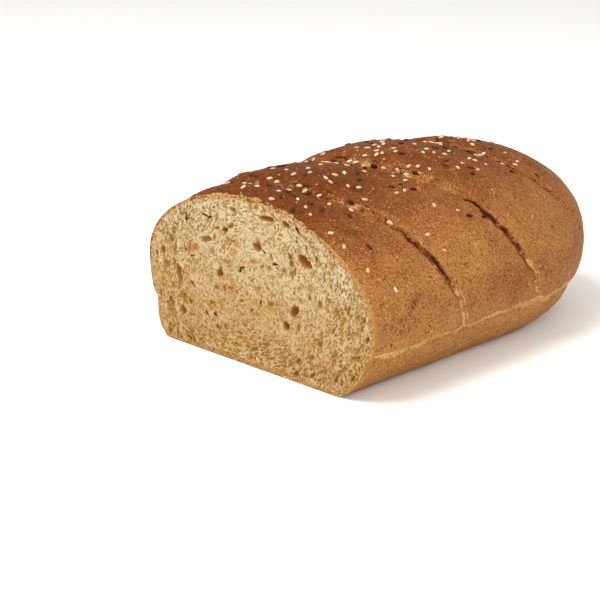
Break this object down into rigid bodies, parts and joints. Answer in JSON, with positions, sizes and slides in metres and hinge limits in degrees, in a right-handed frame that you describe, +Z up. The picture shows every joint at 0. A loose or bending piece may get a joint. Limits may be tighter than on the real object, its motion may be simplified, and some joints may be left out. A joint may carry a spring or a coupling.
{
  "type": "spelt bread loaf",
  "caption": "Tin-baked spelt bread loaf with a slashed, seeded crust and a flat cut end that shows its crumb.",
  "frame": {"origin": "centre of the loaf's bounding box in plan, on the surface it stands on", "axes": "+Y along the loaf's length, from the cut face to its far end; +Z up; +X towards the right flank as seen from the cut"},
  "size_m": [0.1404, 0.1973, 0.0848],
  "materials": {
    "baked_crust": "soft sheen, golden on the flanks and reddish brown on the crest",
    "bread_crumb": "matt, open and spongy",
    "toasted_sesame": "satin",
    "brown_linseed": "glossy"
  },
  "bodies": {
    "root": {"loaf": "baked_crust"}
  },
  "joints": []
}
